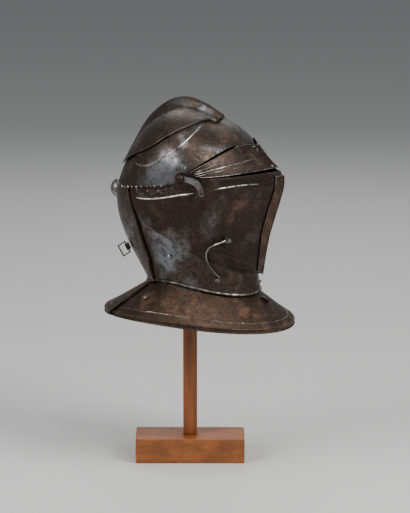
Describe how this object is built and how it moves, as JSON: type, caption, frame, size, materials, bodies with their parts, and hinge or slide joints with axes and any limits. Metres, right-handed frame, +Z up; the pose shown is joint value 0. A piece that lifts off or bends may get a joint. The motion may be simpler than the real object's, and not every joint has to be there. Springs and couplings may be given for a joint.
{
  "type": "armet on a wooden stand",
  "caption": "Close steel helmet of pivoted plates with a comb, a sharp-prowed face, a flared collar and a hook, standing on a plain wooden post and block.",
  "frame": {"origin": "centre of the stand's underside, on the post's axis", "axes": "+Z up, -Y the way the helmet faces, -X the wearer's right"},
  "size_m": [0.2271, 0.2668, 0.5112],
  "materials": {
    "patinated_steel": "dark brown patina, worn bright on ridges and edges",
    "fitting_steel": "dark steel, polished by handling",
    "stand_wood": "oiled, satin"
  },
  "bodies": {
    "root": {"stand_base": "stand_wood", "stand_post": "stand_wood", "skull_crown": "patinated_steel", "skull_side": "patinated_steel", "nape_plate": "patinated_steel", "rear_collar": "patinated_steel", "nape_stud": "fitting_steel", "buckle_tab": "fitting_steel"},
    "bevor": {"bevor": "patinated_steel", "front_collar": "patinated_steel", "cheek_rivet_right": "fitting_steel", "cheek_rivet_left": "fitting_steel", "hook_stud": "fitting_steel", "collar_catch": "fitting_steel", "chin_stud": "fitting_steel", "collar_eyelet_right": "fitting_steel", "collar_eyelet_left": "fitting_steel", "collar_rivet_right": "fitting_steel", "collar_rivet_left": "fitting_steel"},
    "ventail": {"ventail": "patinated_steel", "keel_strip": "patinated_steel", "ventail_peg": "fitting_steel"},
    "visor": {"visor": "patinated_steel", "temple_stud_right": "fitting_steel", "temple_stud_left": "fitting_steel", "visor_lever": "fitting_steel", "visor_rivet_right": "fitting_steel", "visor_rivet_left": "fitting_steel"},
    "hook": {"closing_hook": "fitting_steel"},
    "buckle": {"buckle_frame": "fitting_steel"}
  },
  "joints": [
    {"name": "bevor_swing", "type": "hinge", "parent": "root", "child": "bevor", "pos_m": [0, -0.022, 0.4166], "axis": [-1, 0, 0], "range_deg": [0, 45]},
    {"name": "ventail_swing", "type": "hinge", "parent": "bevor", "child": "ventail", "pos_m": [0, -0.022, 0.4166], "axis": [-1, 0, 0], "range_deg": [0, 45]},
    {"name": "visor_swing", "type": "hinge", "parent": "root", "child": "visor", "pos_m": [0, -0.022, 0.4166], "axis": [-1, 0, 0], "range_deg": [0, 45]},
    {"name": "hook_swing", "type": "hinge", "parent": "ventail", "child": "hook", "pos_m": [-0.06893, -0.07578, 0.32891], "axis": [-0.8392, -0.5223, -0.1513], "range_deg": [0, 18]},
    {"name": "buckle_swing", "type": "hinge", "parent": "root", "child": "buckle", "pos_m": [-0.02627, 0.08213, 0.30156], "axis": [-0.1278, -0.5411, -0.8312], "range_deg": [-90, 60]}
  ]
}
